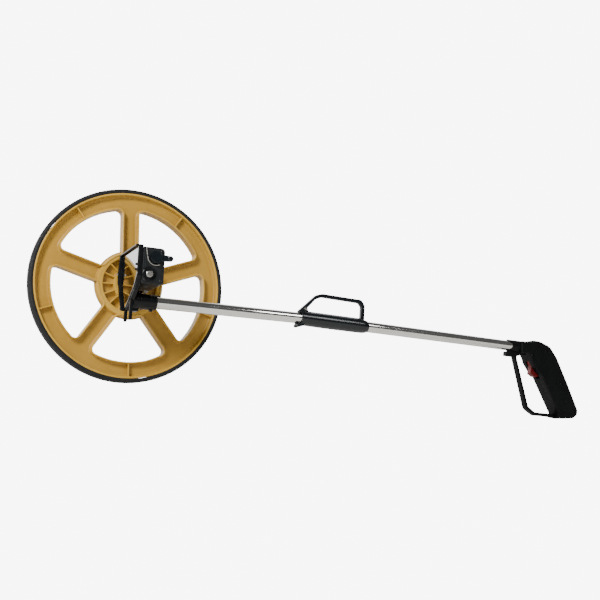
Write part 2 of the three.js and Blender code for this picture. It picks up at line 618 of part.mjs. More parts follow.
// ---- pistol grip ----------------------------------------------------------------------------
const bodyOutline = rounded([
  [756, -24], [783, -24], [784, -20], [801, -20, 14], [828, -28, 24], [846, -49, 30], [875, -100, 60],
  [900.5, -148, 10], [899, -158, 8], [888, -165, 10], [866, -167], [850, -166], [850.9, -157.2],
  [808, -88.6], [796, -80, 7], [783, -64, 9], [779, -54], [774, -47], [756, -47],
], 3);
const guardOutline = rounded([
  [724.6, -55.4, 1.5], [745, -55.4, 1], [775.2, -153.6, 14], [797, -165, 10], [828, -165], [866, -167],
  [866, -150], [850.9, -157.2, 2], [848, -161.6, 2], [796, -160.8, 10], [780.6, -150, 8], [750.8, -54.6, 2],
  [758.3, -51.5, 3], [778, -48, 2], [778, -42], [735, -42], [733, -46.4, 2], [725.6, -46.4, 1.5],
], 3);

// Each shell is one half of the moulding: outer shape, less the tube's seat and the works' room.
function gripShell(side) {
  const range = (a, b) => (side > 0 ? [TUBE_Y + a, TUBE_Y + b] : [TUBE_Y - b, TUBE_Y - a]);
  const whole = [TUBE_Y - 30, TUBE_Y + 30];
  const body = slabXZ(bodyOutline, [TUBE_Y - GRIP_HALF, TUBE_Y + GRIP_HALF], { bevel: 4.5, steps: 1 });
  const guard = slabXZ(guardOutline, [TUBE_Y - GUARD_HALF, TUBE_Y + GUARD_HALF], { bevel: 1.2, steps: 1 });
  const socket = cylinderX(11.9, [731.5, 790], TUBE_Y, TUBE_Z, 36);
  const mouth = slabXZ(arc(726.5, TUBE_Z, 12.8, -90, 90, 10), whole);
  const seat = cylinderX(TUBE_R + GAP, [720, UPPER_END + GAP], TUBE_Y, TUBE_Z, 32);
  const works = slabXZ([
    [791, -23.2], [804, -23.2], [812, -50], [819, -80], [819, -90.5], [806, -93], [784, -95], [778, -70],
    [783, -57], [787.5, -50], [790, -43],
  ], range(0, TRIGGER_HALF + 0.5));
  const posts = GRIP_SCREWS.map(([x, z]) => cylinderY(4.4, whole, x, z, 12));
  const hollow = cut(slabXZ(rounded([
    [820, -50, 5], [836, -52, 6], [880, -135, 10], [884, -156, 6], [862, -158, 4], [826, -100, 4],
  ]), range(0, GRIP_HALF - 3)), ...posts);
  const heads = GRIP_SCREWS.map(([x, z]) =>
    cylinderY(3.1, [TUBE_Y - GRIP_HALF - 5, TUBE_Y - GRIP_HALF + 2.8], x, z, 16));
  const screwHoles = GRIP_SCREWS.map(([x, z]) => cylinderY(1.9, whole, x, z, 12));
  const half = box([700, 920], range(0.1, 30), [-190, 0]);
  return cut(
    join(body, guard, socket).intersect(half),
    mouth, seat, works, hollow, ...screwHoles, ...heads,
    cylinderX(2.2, [UPPER_END - 2, 796], TUBE_Y, TUBE_Z, 12),
    cylinderY(2 + GAP, range(-1, GRIP_HALF - 3), ...TRIGGER_PIN, 16),
  );
}
piece('grip_near', gripShell(-1), black, upper);
piece('grip_far', gripShell(1), black, upper);
GRIP_SCREWS.forEach(([x, z], i) => {
  const near = TUBE_Y - GRIP_HALF;
  piece(`grip_screw_${i + 1}`, join(
    cylinderY(2.7, [near + 0.9, near + 2.5], x, z, 12),
    cylinderY(1.5, [near + 2, TUBE_Y + GRIP_HALF - 4], x, z, 12),
  ), steel, upper);
});

const triggerOutline = rounded([
  [794.6, -23.9, 2], [801.4, -23.9, 2], [803, -45, 2], [806, -86, 2], [805, -89.5, 2], [796, -90, 3],
  [785.5, -84.5, 2], [789.6, -69, 8], [784, -60, 2], [786, -54, 2], [794, -44, 2],
], 3);
piece('trigger', cut(
  slabXZ(triggerOutline, [TUBE_Y - TRIGGER_HALF, TUBE_Y + TRIGGER_HALF], { bevel: 0.9, steps: 1 }),
  cylinderY(2 + GAP, [TUBE_Y - 9, TUBE_Y + 9], ...TRIGGER_PIN, 16),
), red, upper);
piece('trigger_pin', cylinderY(2, [TUBE_Y - 11.6, TUBE_Y + 11.6], ...TRIGGER_PIN, 16), steel, upper);

// ---- assembly -------------------------------------------------------------------------------
const hang = new THREE.Group();
hang.position.set(PX, 0, PZ);
hang.rotation.y = FOLD_PLAY * DEG;
upper.position.set(-PX, 0, -PZ);
hang.add(upper);
object.add(wheelGroup, hang);

export default object;
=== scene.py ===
"""Looks of the measuring wheel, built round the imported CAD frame.

Every length is in millimetres until a mesh is made; the row frame has +X along the tube towards the
grip, +Y along the axle away from the counter, and +Z up.
"""
import json
import math

import bmesh
import bpy
from mathutils import Matrix, Vector


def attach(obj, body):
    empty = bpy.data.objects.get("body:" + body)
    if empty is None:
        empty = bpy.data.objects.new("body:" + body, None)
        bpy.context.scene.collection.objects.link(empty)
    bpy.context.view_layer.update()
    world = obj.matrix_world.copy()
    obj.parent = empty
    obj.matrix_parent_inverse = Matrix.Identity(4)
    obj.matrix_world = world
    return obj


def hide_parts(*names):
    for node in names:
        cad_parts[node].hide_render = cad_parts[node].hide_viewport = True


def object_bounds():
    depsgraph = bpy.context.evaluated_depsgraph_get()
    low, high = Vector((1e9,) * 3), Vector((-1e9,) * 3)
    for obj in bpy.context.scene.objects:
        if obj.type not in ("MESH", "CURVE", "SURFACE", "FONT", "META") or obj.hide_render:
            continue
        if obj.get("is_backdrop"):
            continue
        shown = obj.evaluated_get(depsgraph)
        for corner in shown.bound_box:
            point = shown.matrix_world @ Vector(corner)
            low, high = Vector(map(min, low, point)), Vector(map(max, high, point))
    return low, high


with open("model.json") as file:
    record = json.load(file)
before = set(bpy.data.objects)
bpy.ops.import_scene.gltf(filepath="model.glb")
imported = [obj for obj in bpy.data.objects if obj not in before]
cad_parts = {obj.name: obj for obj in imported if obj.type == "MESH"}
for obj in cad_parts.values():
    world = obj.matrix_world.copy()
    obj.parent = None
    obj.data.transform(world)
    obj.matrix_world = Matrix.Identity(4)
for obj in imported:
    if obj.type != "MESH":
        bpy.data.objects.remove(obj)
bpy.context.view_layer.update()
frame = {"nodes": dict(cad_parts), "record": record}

MM = 0.001

# ---- dimensions shared with the CAD -----------------------------------------------------------
TREAD_R = 1000 / (2 * math.pi)
RIM_R = 151.9
SPOKES = 5
SPOKE_STEP = 360 / SPOKES
SPOKE_W = 27.6
FIRST_SPOKE = 93                       # degrees from +X towards +Z
SECTOR_R = 125.5
SECTOR_FILLET = 8
HUB_R = 52
HUB_RIBS = 16
FIRST_HUB_RIB = 182                    # degrees
TUBE_Y, TUBE_Z, TUBE_R, TUBE_BORE = -67, -34.5, 9.5, 8.3
PIN = (276, TUBE_Z - 13.1)             # fold hinge
FOLD_PLAY = math.radians(1.37)
HEAD_Y = (-118, -19)
FRAME_X = (-17.4, -11)                 # back of the head frame
LIP_X = -22.6                          # how far its lip and wedge reach past the plate
COVER_Y = -118                         # face of the counter's lid
DRUM_AXIS = (8, 26)
DRUMS = 5
DRUM_R = 11.5
DRUM_W = 13
DRUM_PITCH = 14
DRUM_FIRST_Y = -43
GRIP_HALF = 15
GRIP_SCREWS = ((782.5, -49), (818, -38.5), (857, -99), (889, -152.5))

# The upper section hangs by the fold's play, about the hinge pin.
DROOP = (
    Matrix.Translation((PIN[0] * MM, 0, PIN[1] * MM))
    @ Matrix.Rotation(FOLD_PLAY, 4, "Y")
    @ Matrix.Translation((-PIN[0] * MM, 0, -PIN[1] * MM))
)


# ---- mesh helpers -----------------------------------------------------------------------------
def make(name, verts, faces):
    mesh = bpy.data.meshes.new(name)
    mesh.from_pydata([[c * MM for c in v] for v in verts], [], faces)
    bm = bmesh.new()
    bm.from_mesh(mesh)
    bmesh.ops.remove_doubles(bm, verts=bm.verts, dist=1e-7)
    bmesh.ops.recalc_face_normals(bm, faces=bm.faces)
    bm.to_mesh(mesh)
    bm.free()
    obj = bpy.data.objects.new(name, mesh)
    bpy.context.scene.collection.objects.link(obj)
    return obj


def loft(name, rings):
    """Joins rings of equally many points, and the last ring to the first."""
    n = len(rings[0])
    verts = [p for ring in rings for p in ring]
    faces = []
    for i in range(len(rings)):
        a, b = i * n, ((i + 1) % len(rings)) * n
        faces += [(a + j, a + (j + 1) % n, b + (j + 1) % n, b + j) for j in range(n)]
    return make(name, verts, faces)


PLACE = {
    "Y": lambda a, b, t: (a, t, b),    # outline in x and z
    "X": lambda a, b, t: (t, a, b),    # outline in y and z
    "Z": lambda a, b, t: (a, b, t),    # outline in x and y
}


def turn(name, profile, axis="Y", at=(0, 0), segments=96, closed=True):
    """Turns a profile of (radius, place along the axis); at is the other two coordinates."""
    put = PLACE[axis]
    rings = []
    for i in range(segments):
        a = 2 * math.pi * i / segments
        c, s = math.cos(a), math.sin(a)
        rings.append([put(at[0] + r * c, at[1] + r * s, t) for r, t in profile])
    n = len(profile)
    verts = [p for ring in rings for p in ring]
    faces = []
    for i in range(segments):
        a, b = i * n, ((i + 1) % segments) * n
        for j in range(n if closed else n - 1):
            faces.append((a + j, a + (j + 1) % n, b + (j + 1) % n, b + j))
    return make(name, verts, faces)


def arc(cx, cz, r, start, end, steps):
    return [
        (cx + r * math.cos(math.radians(start + (end - start) * i / steps)),
         cz + r * math.sin(math.radians(start + (end - start) * i / steps)))
        for i in range(steps + 1)
    ]


def rounded(corners, steps=6):
    """Corners as (a, b, radius): each corner with a radius is rounded off by an arc."""
    points = []
    for i, corner in enumerate(corners):
        here = Vector(corner[:2])
        r = corner[2] if len(corner) > 2 else 0
        if not r:
            points.append(tuple(here))
            continue
        back = (Vector(corners[i - 1][:2]) - here).normalized()
        ahead = (Vector(corners[(i + 1) % len(corners)][:2]) - here).normalized()
        half = math.acos(max(-1, min(1, back.dot(ahead)))) / 2
        centre = here + (back + ahead).normalized() * (r / math.sin(half))
        start = here + back * (r / math.tan(half)) - centre
        end = here + ahead * (r / math.tan(half)) - centre
        sweep = math.atan2(start.x * end.y - start.y * end.x, start.dot(end))
        for k in range(steps + 1):
            a = sweep * k / steps
            points.append((
                centre.x + start.x * math.cos(a) - start.y * math.sin(a),
                centre.y + start.x * math.sin(a) + start.y * math.cos(a),
            ))
    return points


def slab(name, outline, span, axis="Y", bevel=0.0, segments=3, angle=40):
    put = PLACE[axis]
    n = len(outline)
    verts = [put(a, b, t) for t in span for a, b in outline]
    faces = [list(range(n)), list(range(n, 2 * n))]
    faces += [(j, (j + 1) % n, n + (j + 1) % n, n + j) for j in range(n)]
    obj = make(name, verts, faces)
    if bevel:
        edge_round(obj, bevel, segments, angle)
    return obj


def block(name, x, y, z, bevel=0.5):
    return slab(name, [(x[0], z[0]), (x[1], z[0]), (x[1], z[1]), (x[0], z[1])], y, bevel=bevel)


def apply_modifiers(obj):
    graph = bpy.context.evaluated_depsgraph_get()
    mesh = bpy.data.meshes.new_from_object(obj.evaluated_get(graph))
    obj.modifiers.clear()
    obj.data = mesh


def edge_round(obj, width, segments=3, angle=40):
    m = obj.modifiers.new("round", "BEVEL")
    m.width = width * MM
    m.segments = segments
    m.limit_method = "ANGLE"
    m.angle_limit = math.radians(angle)
    m.use_clamp_overlap = True
    apply_modifiers(obj)


def boolean(obj, tools, operation="DIFFERENCE"):
    for tool in tools:
        m = obj.modifiers.new("cut", "BOOLEAN")
        m.operation = operation
        m.solver = "EXACT"
        m.object = tool
    apply_modifiers(obj)
    for tool in tools:
        bpy.data.objects.remove(tool)
    return obj


def merge(name, parts):
    """One object made of several shells."""
    bm = bmesh.new()
    for part in parts:
        bm.from_mesh(part.data)
        bpy.data.objects.remove(part)
    mesh = bpy.data.meshes.new(name)
    bm.to_mesh(mesh)
    bm.free()
    obj = bpy.data.objects.new(name, mesh)
    bpy.context.scene.collection.objects.link(obj)
    return obj


def rod(name, points, radius, resolution=10):
    """A smooth round wire through the points."""
    curve = bpy.data.curves.new(name, "CURVE")
    curve.dimensions = "3D"
    curve.bevel_depth = radius * MM
    curve.bevel_resolution = 4
    curve.use_fill_caps = True
    spline = curve.splines.new("BEZIER")
    spline.bezier_points.add(len(points) - 1)
    for knot, p in zip(spline.bezier_points, points):
        knot.co = [c * MM for c in p]
        knot.handle_left_type = knot.handle_right_type = "AUTO"
    spline.resolution_u = resolution
    source = bpy.data.objects.new(name + "_line", curve)
    bpy.context.scene.collection.objects.link(source)
    graph = bpy.context.evaluated_depsgraph_get()
    mesh = bpy.data.meshes.new_from_object(source.evaluated_get(graph))
    bpy.data.objects.remove(source)
    obj = bpy.data.objects.new(name, mesh)
    bpy.context.scene.collection.objects.link(obj)
    return obj


def settle(obj, material, body, nodes=(), droop=False, smooth=32):
    """Shades the piece, gives it its material, and hangs it on its CAD body."""
    if droop:
        obj.data.transform(DROOP)
    for p in obj.data.polygons:
        p.use_smooth = True
    obj.data.set_sharp_from_angle(angle=math.radians(smooth))
    m = obj.modifiers.new("normals", "WEIGHTED_NORMAL")
    m.keep_sharp = True
    apply_modifiers(obj)
    obj.data.materials.clear()
    obj.data.materials.append(material)
    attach(obj, body)
    if nodes:
        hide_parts(*nodes)
    return obj


# ---- material helpers -------------------------------------------------------------------------
class Nodes:
    """A material with its shader, and short calls that add nodes to it."""

    def __init__(self, name, roughness=0.5, metallic=0.0, ior=1.5):
        self.material = bpy.data.materials.new(name)
        self.material.use_nodes = True
        self.tree = self.material.node_tree
        self.shader = self.tree.nodes["Principled BSDF"]
        self.shader.inputs["Roughness"].default_value = roughness
        self.shader.inputs["Metallic"].default_value = metallic
        self.shader.inputs["IOR"].default_value = ior
        self.where = self.add("ShaderNodeTexCoord").outputs["Object"]
        self.bumps = None

    def add(self, kind, **values):
        node = self.tree.nodes.new(kind)
        for key, value in values.items():
            setattr(node, key, value)
        return node

    def link(self, source, target):
        self.tree.links.new(source, target)

    def stretched(self, scale):
        mapping = self.add("ShaderNodeMapping")
        mapping.inputs["Scale"].default_value = scale
        self.link(self.where, mapping.inputs["Vector"])
        return mapping.outputs["Vector"]

    def noise(self, scale, detail=4.0, rough=0.55, stretch=None):
        node = self.add("ShaderNodeTexNoise")
        node.inputs["Scale"].default_value = scale
        node.inputs["Detail"].default_value = detail
        node.inputs["Roughness"].default_value = rough
        self.link(self.stretched(stretch) if stretch else self.where, node.inputs["Vector"])
        return node.outputs["Fac"]

    def ramp(self, source, stops):
        node = self.add("ShaderNodeValToRGB")
        elements = node.color_ramp.elements
        for element, (place, value) in zip(elements, (stops[0], stops[-1])):
            element.position = place
            element.color = shade(value)
        for place, value in stops[1:-1]:
            elements.new(place).color = shade(value)
        self.link(source, node.inputs["Fac"])
        return node.outputs["Color"]

    def mix(self, factor, a, b):
        """Mixes two colours; each is a socket or a plain colour."""
        node = self.add("ShaderNodeMix", data_type="RGBA")
        self.link(factor, node.inputs["Factor"])
        for value, socket in ((a, node.inputs[6]), (b, node.inputs[7])):
            if isinstance(value, bpy.types.NodeSocket):
                self.link(value, socket)
            else:
                socket.default_value = shade(value)
        return node.outputs[2]

    def bump(self, height, strength, distance):
        node = self.add("ShaderNodeBump")
        node.inputs["Strength"].default_value = strength
        node.inputs["Distance"].default_value = distance * MM
        self.link(height, node.inputs["Height"])
        if self.bumps:
            self.link(self.bumps, node.inputs["Normal"])
        self.bumps = node.outputs["Normal"]
        self.link(self.bumps, self.shader.inputs["Normal"])

    def recess(self, crest, web):
        """A mask for painted shade in the wheel's recesses: 0 on the raised edges, and 0.45 on the sunken
        web, by distance from the middle plane.
        """
        split = self.add("ShaderNodeSeparateXYZ")
        self.link(self.where, split.inputs[0])
        away = self.add("ShaderNodeMath", operation="ABSOLUTE")
        self.link(split.outputs["Y"], away.inputs[0])
        depth = self.add("ShaderNodeMapRange")
        depth.inputs["From Min"].default_value = crest * MM
        depth.inputs["From Max"].default_value = web * MM
        depth.inputs["To Min"].default_value = 0.0
        depth.inputs["To Max"].default_value = 0.45
        self.link(away.outputs[0], depth.inputs["Value"])
        return depth.outputs[0]

    def colour(self, socket):
        self.link(socket, self.shader.inputs["Base Color"])

    def roughness(self, socket):
        self.link(socket, self.shader.inputs["Roughness"])


def shade(value):
    if isinstance(value, (int, float)):
        return (value, value, value, 1)
    return (*value, 1)


def ochre_plastic():
    m = Nodes("ochre_plastic")
    flow = m.noise(14, 5)
    dust = m.noise(55, 6, 0.7)
    base = m.ramp(flow, [
        (0.3, (0.45, 0.255, 0.030)), (0.5, (0.51, 0.295, 0.038)), (0.7, (0.56, 0.335, 0.050)),
    ])
    stain = m.ramp(dust, [(0.56, 0.0), (0.74, 0.35)])
    worn = m.mix(stain, base, (0.32, 0.175, 0.024))
    # Painted shade: the sunken web is mixed towards dark brown (0.25, 0.125, 0.012), darker the deeper it
    # lies.
    m.colour(m.mix(m.recess(7.0, 3.2), worn, (0.25, 0.125, 0.012)))
    m.roughness(m.ramp(m.noise(80, 4), [(0.3, 0.34), (0.7, 0.50)]))
    m.bump(m.noise(2600, 2), 0.10, 0.06)
    m.bump(m.noise(60, 3), 0.12, 0.25)
    m.shader.inputs["Specular IOR Level"].default_value = 0.35
    return m.material


def tyre_rubber():
    m = Nodes("tyre_rubber")
    wear = m.noise(90, 6, 0.7)
    m.colour(m.ramp(wear, [
        (0.35, (0.006, 0.006, 0.007)), (0.6, (0.012, 0.012, 0.013)), (0.8, (0.03, 0.03, 0.029)),
    ]))
    m.shader.inputs["Specular IOR Level"].default_value = 0.25
    m.roughness(m.ramp(m.noise(200, 4), [(0.3, 0.55), (0.7, 0.8)]))
    m.bump(m.noise(1500, 3), 0.30, 0.15)
    m.bump(m.noise(5200, 2), 0.25, 0.06)
    return m.material


def grained(name, dark, light, rough, grain, strength=0.25, depth=0.07, shine=0.5):
    """Moulded plastic with spark-eroded grain, faint flow marks and rubbed patches."""
    m = Nodes(name)
    m.colour(m.ramp(m.noise(22, 5), [(0.3, dark), (0.7, light)]))
    m.roughness(m.ramp(m.noise(48, 6, 0.65), [(0.3, rough[0]), (0.7, rough[1])]))
    cells = m.add("ShaderNodeTexVoronoi")
    cells.inputs["Scale"].default_value = grain
    m.link(m.where, cells.inputs["Vector"])
    m.bump(cells.outputs["Distance"], strength, depth)
    m.bump(m.noise(9, 2), 0.06, 1.0)
    m.shader.inputs["Specular IOR Level"].default_value = shine
    return m.material


def chromed(name, tint, rough, streak):
    """Bright plating with fine drawn lines along the tube, finger marks and small pits."""
    m = Nodes(name, metallic=1.0)
    lines = m.noise(60, 5, 0.6, stretch=streak)
    smears = m.noise(26, 5, 0.6)
    m.colour(m.ramp(smears, [(0.3, tuple(c * 0.93 for c in tint)), (0.7, tint)]))
    blend = m.mix(lines, rough[0], rough[1])
    m.roughness(m.mix(m.ramp(smears, [(0.5, 0.0), (0.75, 0.6)]), blend, rough[1] * 1.6))
    m.bump(lines, 0.05, 0.03)
    m.bump(m.noise(11, 2), 0.05, 0.5)
    return m.material


def zinc_steel():
    m = Nodes("zinc_steel", metallic=1.0)
    m.colour(m.ramp(m.noise(160, 5), [(0.3, (0.42, 0.42, 0.39)), (0.7, (0.60, 0.59, 0.56))]))
    m.roughness(m.ramp(m.noise(420, 4), [(0.3, 0.22), (0.7, 0.42)]))
    m.bump(m.noise(1800, 3), 0.12, 0.04)
    return m.material


def blackened_steel():
    m = Nodes("blackened_steel", metallic=0.7)
    m.colour(m.ramp(m.noise(180, 5), [(0.3, (0.020, 0.020, 0.022)), (0.7, (0.055, 0.054, 0.055))]))
    m.roughness(m.ramp(m.noise(420, 4), [(0.3, 0.30), (0.7, 0.5)]))
    m.bump(m.noise(1800, 3), 0.12, 0.04)
    return m.material


def nylon():
    m = Nodes("white_nylon", roughness=0.45)
    m.colour(m.ramp(m.noise(30, 4), [(0.3, (0.70, 0.67, 0.58)), (0.7, (0.80, 0.78, 0.71))]))
    m.roughness(m.ramp(m.noise(120, 4), [(0.3, 0.38), (0.7, 0.55)]))
    m.bump(m.noise(900, 3), 0.1, 0.05)
    m.shader.inputs["Subsurface Weight"].default_value = 0.08
    m.shader.inputs["Subsurface Scale"].default_value = 0.002
    return m.material


def red_plastic():
    m = Nodes("red_plastic")
    m.colour(m.ramp(m.noise(60, 5), [(0.3, (0.10, 0.004, 0.004)), (0.7, (0.16, 0.006, 0.006))]))
    m.roughness(m.ramp(m.noise(150, 5), [(0.3, 0.28), (0.7, 0.46)]))
    m.bump(m.noise(1400, 3), 0.15, 0.05)
    return m.material


def clear_window():
    m = Nodes("clear_window", roughness=0.08)
    m.colour(m.ramp(m.noise(30, 3), [(0.3, (0.86, 0.90, 0.90)), (0.7, (0.92, 0.95, 0.95))]))
    m.roughness(m.ramp(m.noise(240, 5), [(0.4, 0.05), (0.75, 0.20)]))
    m.shader.inputs["Alpha"].default_value = 0.30
    return m.material


def ink():
    m = Nodes("drum_ink", roughness=0.5)
    m.colour(m.ramp(m.noise(400, 3), [(0.3, (0.012, 0.012, 0.014)), (0.7, (0.03, 0.03, 0.032))]))
    m.bump(m.noise(1200, 2), 0.1, 0.02)
    return m.material


OCHRE = ochre_plastic()
TYRE = tyre_rubber()
PAD = grained("pad_rubber", (0.014, 0.014, 0.014), (0.03, 0.03, 0.03), (0.6, 0.8), 1500)
BLACK = grained("black_plastic", (0.003, 0.0035, 0.004), (0.006, 0.007, 0.008), (0.22, 0.38), 2200, 0.16,
                shine=0.2)
CHARCOAL = grained("charcoal_plastic", (0.008, 0.009, 0.010), (0.015, 0.017, 0.018), (0.28, 0.46), 1800, 0.22,
                   shine=0.3)
SLEEVE = grained("sleeve_plastic", (0.002, 0.004, 0.005), (0.004, 0.007, 0.009), (0.18, 0.26), 2600, 0.02)
GRIP = grained("grip_plastic", (0.0018, 0.002, 0.0024), (0.0036, 0.004, 0.0046), (0.34, 0.50), 1700, 0.30,
               shine=0.15)
CHROME = chromed("tube_chrome", (0.80, 0.79, 0.765), (0.06, 0.15), (0.06, 1.0, 1.0))
PLATE = chromed("polished_plate", (0.50, 0.50, 0.505), (0.03, 0.09), (1.0, 1.0, 0.08))
ZINC = zinc_steel()
DARK_STEEL = blackened_steel()
NYLON = nylon()
RED = red_plastic()
CLEAR = clear_window()
INK = ink()

FINISHES = {
    "ochre_plastic": OCHRE, "tyre_rubber": TYRE, "pad_rubber": PAD, "white_nylon": NYLON,
    "polished_plate": PLATE, "tube_chrome": CHROME, "zinc_steel": ZINC, "blackened_steel": DARK_STEEL,
    "black_plastic": BLACK, "charcoal_plastic": CHARCOAL, "sleeve_plastic": SLEEVE,
    "grip_plastic": GRIP, "clear_window": CLEAR, "red_plastic": RED,
}


# ---- wheel ------------------------------------------------------------------------------------
def sector(k, inset, y):
    """The opening after spoke k, as a ring of points at one y. A negative inset is a larger outline."""
    a0 = FIRST_SPOKE + SPOKE_STEP * k
    a1 = a0 + SPOKE_STEP
    outer, inner = SECTOR_R - inset, HUB_R + inset
    h, f = SPOKE_W / 2 + inset, SECTOR_FILLET - inset
    swing_out = math.degrees(math.asin((h + f) / (outer - f)))
    swing_in = math.degrees(math.asin((h + f) / (inner + f)))

    def at(r, a):
        return r * math.cos(math.radians(a)), r * math.sin(math.radians(a))

    points = arc(*at(outer - f, a0 + swing_out), f, a0 - 90, a0 + swing_out, 8)
    points += arc(0, 0, outer, a0 + swing_out, a1 - swing_out, 20)[1:-1]
    points += arc(*at(outer - f, a1 - swing_out), f, a1 - swing_out, a1 + 90, 8)
    points += arc(*at(inner + f, a1 - swing_in), f, a1 + 90, a1 - swing_in + 180, 6)
    points += arc(0, 0, inner, a1 - swing_in, a0 + swing_in, 10)[1:-1]
    points += arc(*at(inner + f, a0 + swing_in), f, a0 + swing_in + 180, a0 + 270, 6)
    return [(x, y, z) for x, z in points]


def mirrored(profile):
    """A profile given for +y, closed by its mirror image."""
    return profile + [(a, -b) for a, b in reversed(profile)]


def wheel():
    # Crest round each opening: a drafted wall with a rounded top, and a fillet down to the web.
    crest = mirrored([
        (-7.0, 1.9), (-5.2, 2.02), (-3.9, 2.5), (-3.1, 3.5), (-2.8, 4.8), (-2.45, 9.4), (-2.2, 10.1),
        (-1.7, 10.5), (-0.75, 10.5), (-0.2, 10.15), (0.0, 9.5),
    ])
    parts = [loft("crest", [sector(k, i, y) for i, y in crest]) for k in range(SPOKES)]
    web = turn("web", [(26, -2), (RIM_R - 1, -2), (RIM_R - 1, 2), (26, 2)], segments=180)
    openings = []
    for k in range(SPOKES):
        openings.append(slab("opening", [(x, z) for x, _, z in sector(k, -1.2, 0)], (-5, 5)))
    parts.append(boolean(web, openings))
    lip = mirrored([
        (143.6, 1.9), (145.6, 2.1), (147.2, 2.9), (148.1, 4.4), (148.6, 9.2), (149.0, 10.1), (149.8, 10.5),
        (151.2, 10.5), (151.8, 10.1), (151.9, 9.4),
    ])
    parts.append(turn("lip", lip, segments=220))
    hub_wall = mirrored([
        (43.2, 1.9), (44.0, 3.2), (44.4, 8.6), (45.0, 9.3), (46.0, 9.5), (51.6, 9.5), (52.6, 9.2),
        (53.2, 8.2), (54.4, 3.4), (56.4, 1.9),
    ])
    parts.append(turn("hub_wall", hub_wall, segments=120))
    boss = mirrored([
        (29.6, 1.9), (28.0, 3.2), (27.2, 5.5), (26.9, 10.9), (26.4, 11.7), (25.4, 12.0), (19.6, 12.0),
        (18.8, 11.5), (18.3, 10.2), (16.0, 10.0), (12.2, 10.2), (11.6, 11.6), (10.8, 12.0), (8.6, 12.0),
        (8.3, 11.6),
    ])
    parts.append(turn("boss", boss, segments=96))

    def rib(angle, r0, r1, thick, height):
        piece = block("rib", (r0, r1), (-height, height), (-thick / 2, thick / 2), bevel=0.45)
        piece.data.transform(Matrix.Rotation(-math.radians(angle), 4, "Y"))
        return piece

    for k in range(HUB_RIBS):
        parts.append(rib(FIRST_HUB_RIB + 360 / HUB_RIBS * k, 26.5, 45, 1.9, 8.8))
    for k in range(SPOKES):
        middle = FIRST_SPOKE + SPOKE_STEP * (k + 0.5)
        parts.append(rib(middle, SECTOR_R + 1.5, RIM_R - 1.5, 2.0, 8.9))
    return merge("wheel_moulding", parts)


settle(wheel(), OCHRE, "wheel", ["wheel_disc"], smooth=40)


def tyre():
    """Tread with four fine grooves, rounded shoulders and a moulded line on each wall."""
    inner = RIM_R + 0.3
    half = [
        (TREAD_R, 0.0), (TREAD_R, 1.6), (TREAD_R - 0.5, 1.9), (TREAD_R - 0.5, 2.3), (TREAD_R, 2.6),
        (TREAD_R, 5.0), (TREAD_R - 0.45, 5.3), (TREAD_R - 0.45, 5.7), (TREAD_R - 0.05, 6.0),
        (TREAD_R - 0.15, 7.4), (TREAD_R - 0.5, 8.6), (TREAD_R - 1.1, 9.6), (TREAD_R - 2.0, 10.3),
        (inner + 3.6, 10.7), (inner + 3.3, 11.0), (inner + 2.9, 11.05), (inner + 2.6, 10.8),
        (inner + 1.4, 10.9), (inner + 0.5, 10.6), (inner, 10.0),
    ]
    profile = half + [(r, -y) for r, y in reversed(half[1:])]
    return turn("tyre_band", profile, segments=240)


settle(tyre(), TYRE, "wheel", ["tyre"], smooth=50)


# ---- head -------------------------------------------------------------------------------------
def head():
    slab_side = [
        (HEAD_Y[1], 44.5), (HEAD_Y[1], -4, 8), (-31, -27, 14), (-46.5, -50, 5), (-61, -50, 6),
        (-82, -37.5, 20), (-104, -23, 14), (HEAD_Y[0], -5, 8), (HEAD_Y[0], 44.5),
    ]
    near_x, far_x = FRAME_X
    parts = [slab("back", rounded(slab_side), FRAME_X, "X", bevel=0.7)]
    parts.append(block("lip", (LIP_X, far_x), HEAD_Y, (41.4, 44.5), bevel=1.2))
    flange = rounded([(far_x, 44.5), (-23, 44.5, 2.5), (-24.3, 12, 16), (-23.4, -6, 6), (far_x, -12)])
    parts.append(slab("flange", flange, (-24.2, HEAD_Y[1]), bevel=1.0))
    wedge = [(-24.2, -1), (-19, -4), (-31, -27), (-46.5, -50), (-48.7, -46.7), (-34.7, -24)]
    parts.append(slab("wedge", wedge, (LIP_X, far_x), "X", bevel=0.8))
    for y in (-52, -82):
        prong = rounded([(near_x, -32), (near_x, -67, 2.2), (-12.6, -67, 2.2), (-12.6, -32)])
        parts.append(slab("prong", prong, (y - 2.6, y + 2.6), bevel=0.8))
    return merge("head_moulding", parts)


settle(head(), BLACK, "head", ["head_frame"])

shield = rounded([
    (-24.5, 41, 1), (-24.5, -1, 6), (-35, -24, 12), (-49, -46.5, 2), (-59, -46.5, 3),
    (-81, -33, 20), (-102, -19, 14), (-117.4, 0, 8), (-117.4, 41, 1),
])
settle(slab("mirror_plate", shield, (-19, -17.7), "X", bevel=0.3), PLATE, "head", ["face_plate"])
for number, z in enumerate((14, 6), 1):
    dome = [(0, -21.2), (1.2, -21.2), (1.75, -20.9), (2, -20.4), (2, -19.3), (0, -19.3)]
    stud = turn(f"stud_{number}", dome, "X", (-114.5, z), 32, closed=False)
    settle(stud, BLACK, "head", [f"plate_stud_{number}"])


def case_outline(inset):
    x0, x1, z0, z1 = -10.7 + inset, 23 - inset, -14 + inset, 42 - inset
    return rounded([(x0, z0, 1.5), (x1, z0, 4), (x1, z1, 6), (x0, z1, 1.5)])


def counter_case():
    body = slab("case", case_outline(0), (-114.7, -29.5), bevel=0.5)
    window = block("hole", (17, 30), (-111, -44), (18.5, 33.5), bevel=0)
    inside = slab("inside", case_outline(2.2), (-112.5, -31.7))
    boolean(body, [inside, window])
    beads = []
    for y in (-112.6, -34.2):
        bead = slab("bead", case_outline(-0.15), (y, y + 1.6), bevel=0.5)
        hollow = slab("hollow", case_outline(0.6), (y - 1, y + 3))
        beads.append(boolean(bead, [hollow]))
    return merge("counter_housing", [body, *beads])


settle(counter_case(), CHARCOAL, "head", ["counter_case"])


